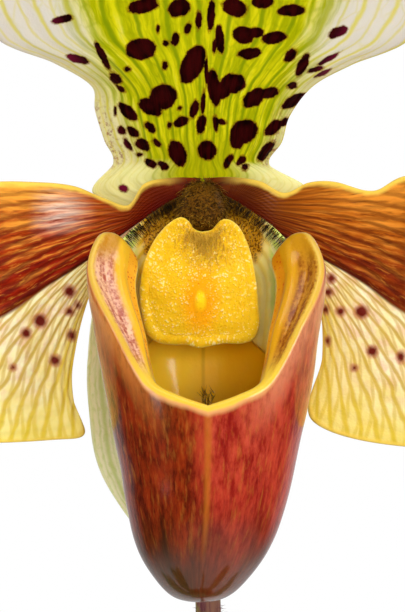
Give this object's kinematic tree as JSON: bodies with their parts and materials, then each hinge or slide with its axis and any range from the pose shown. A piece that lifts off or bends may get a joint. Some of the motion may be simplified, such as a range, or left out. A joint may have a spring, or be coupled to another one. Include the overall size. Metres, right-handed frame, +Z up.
{
  "type": "potted slipper orchid",
  "caption": "Slipper orchid in a round clay pot: one spotted flower with an open pouch on a tall stem above fans of mottled leaves rooted in bark.",
  "frame": {"origin": "middle of the pot's flat underside, on the surface that it stands on", "axes": "+Z up along the pot's axis; the flower faces -Y; +X is to the right of someone who looks the flower in the face"},
  "size_m": [0.3415, 0.1707, 0.4058],
  "materials": {
    "clay": "unglazed, dry and porous, with pale mineral bloom",
    "mix": "damp fine bark crumbs",
    "bark": "rough fir bark, furrowed",
    "root": "brown and hairy",
    "crown": "smooth pale green sheath",
    "leaf": "satin, pale green mottled with dark green",
    "stem": "purple-brown, short-haired",
    "bract": "pale green, finely spotted",
    "ovary": "ribbed, green flushed purple, short-haired",
    "dorsal": "waxy, yellow-green to white with maroon spots",
    "synsepal": "waxy, pale green with green veins",
    "petal": "glossy, mahogany over cream with a yellow margin",
    "pouch": "glossy, red-brown with a yellow rim",
    "staminode": "warty and shining, bright yellow",
    "column": "hairy, yellow-green",
    "stigma": "smooth, pale green",
    "anther": "sticky, deep yellow"
  },
  "bodies": {
    "root": {"pot": "clay", "potting_mix": "mix", "bark_chip_01": "bark", "bark_chip_02": "bark", "bark_chip_03": "bark", "bark_chip_04": "bark", "bark_chip_05": "bark", "bark_chip_06": "bark", "bark_chip_07": "bark", "bark_chip_08": "bark", "bark_chip_09": "bark", "bark_chip_10": "bark", "bark_chip_11": "bark", "bark_chip_12": "bark", "root_1": "root", "root_2": "root", "root_3": "root", "root_4": "root", "root_5": "root", "root_6": "root", "crown_flowering": "crown", "crown_left": "crown", "crown_right": "crown", "leaf_01": "leaf", "leaf_02": "leaf", "leaf_03": "leaf", "leaf_04": "leaf", "leaf_05": "leaf", "leaf_06": "leaf", "leaf_07": "leaf", "leaf_08": "leaf", "leaf_09": "leaf", "leaf_10": "leaf", "leaf_11": "leaf", "leaf_12": "leaf", "leaf_13": "leaf", "scape": "stem", "bract": "bract", "ovary": "ovary", "dorsal_sepal": "dorsal", "synsepal": "synsepal", "petal_left": "petal", "petal_right": "petal", "pouch": "pouch", "column": "column", "staminode": "staminode", "stigma": "stigma", "anther_left": "anther", "anther_right": "anther"}
  },
  "joints": []
}
